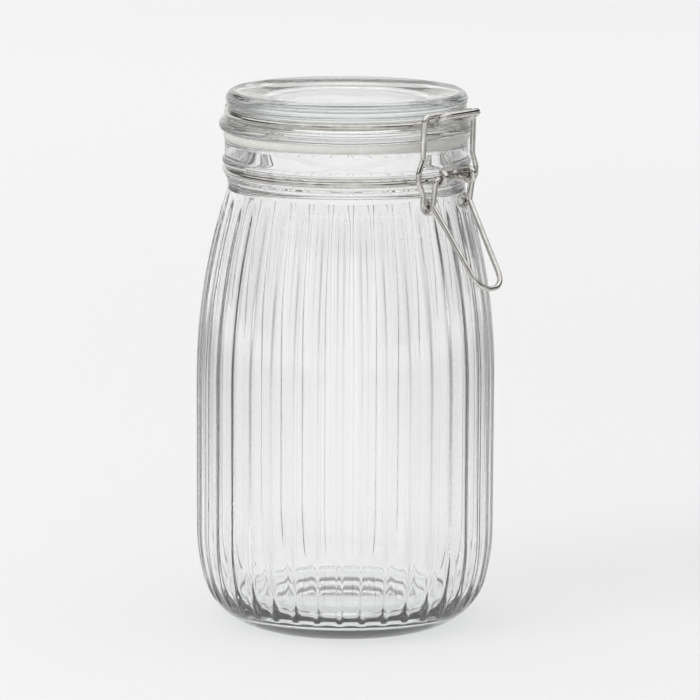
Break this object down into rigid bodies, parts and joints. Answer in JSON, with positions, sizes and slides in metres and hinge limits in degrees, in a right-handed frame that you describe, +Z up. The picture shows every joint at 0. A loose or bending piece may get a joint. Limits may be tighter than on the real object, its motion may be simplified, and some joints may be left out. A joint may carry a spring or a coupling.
{
  "type": "clip-top jar",
  "caption": "Empty clear glass storage jar with a ribbed barrel, a hinged glass lid on a rubber ring, and a steel wire clip that pulls the lid shut.",
  "frame": {"origin": "centre of the foot, on the surface the jar stands on", "axes": "+Z up along the jar's axis, the wire clip at the front towards -Y, the lid's hinge at the back towards +Y, +X to the right seen from the front"},
  "size_m": [0.1242, 0.1406, 0.2229],
  "materials": {
    "jar_glass": "polished",
    "lid_glass": "polished",
    "ring_rubber": "matt",
    "wire_steel": "polished"
  },
  "bodies": {
    "jar": {"jar_glass": "jar_glass", "neck_wire": "wire_steel"},
    "lid": {"lid_glass": "lid_glass", "gasket": "ring_rubber", "lid_wire": "wire_steel"},
    "lever": {"lever": "wire_steel"},
    "bail": {"bail": "wire_steel"}
  },
  "joints": [
    {"name": "lid_hinge", "type": "hinge", "parent": "jar", "child": "lid", "pos_m": [0, 0.0573, 0.1922], "axis": [-1, 0, 0], "range_deg": [0, 180]},
    {"name": "lever_pivot", "type": "hinge", "parent": "jar", "child": "lever", "pos_m": [0, -0.0573, 0.1922], "axis": [-1, 0, 0], "range_deg": [0, 110]},
    {"name": "bail_pivot", "type": "hinge", "parent": "lever", "child": "bail", "pos_m": [0, -0.053, 0.1804], "axis": [-1, 0, 0], "range_deg": [-115, 0]}
  ],
  "couplings": [
    {"joint": "lever_pivot", "follows": "lid_hinge", "ratio": 0.611},
    {"joint": "bail_pivot", "follows": "lid_hinge", "ratio": -0.6385}
  ]
}
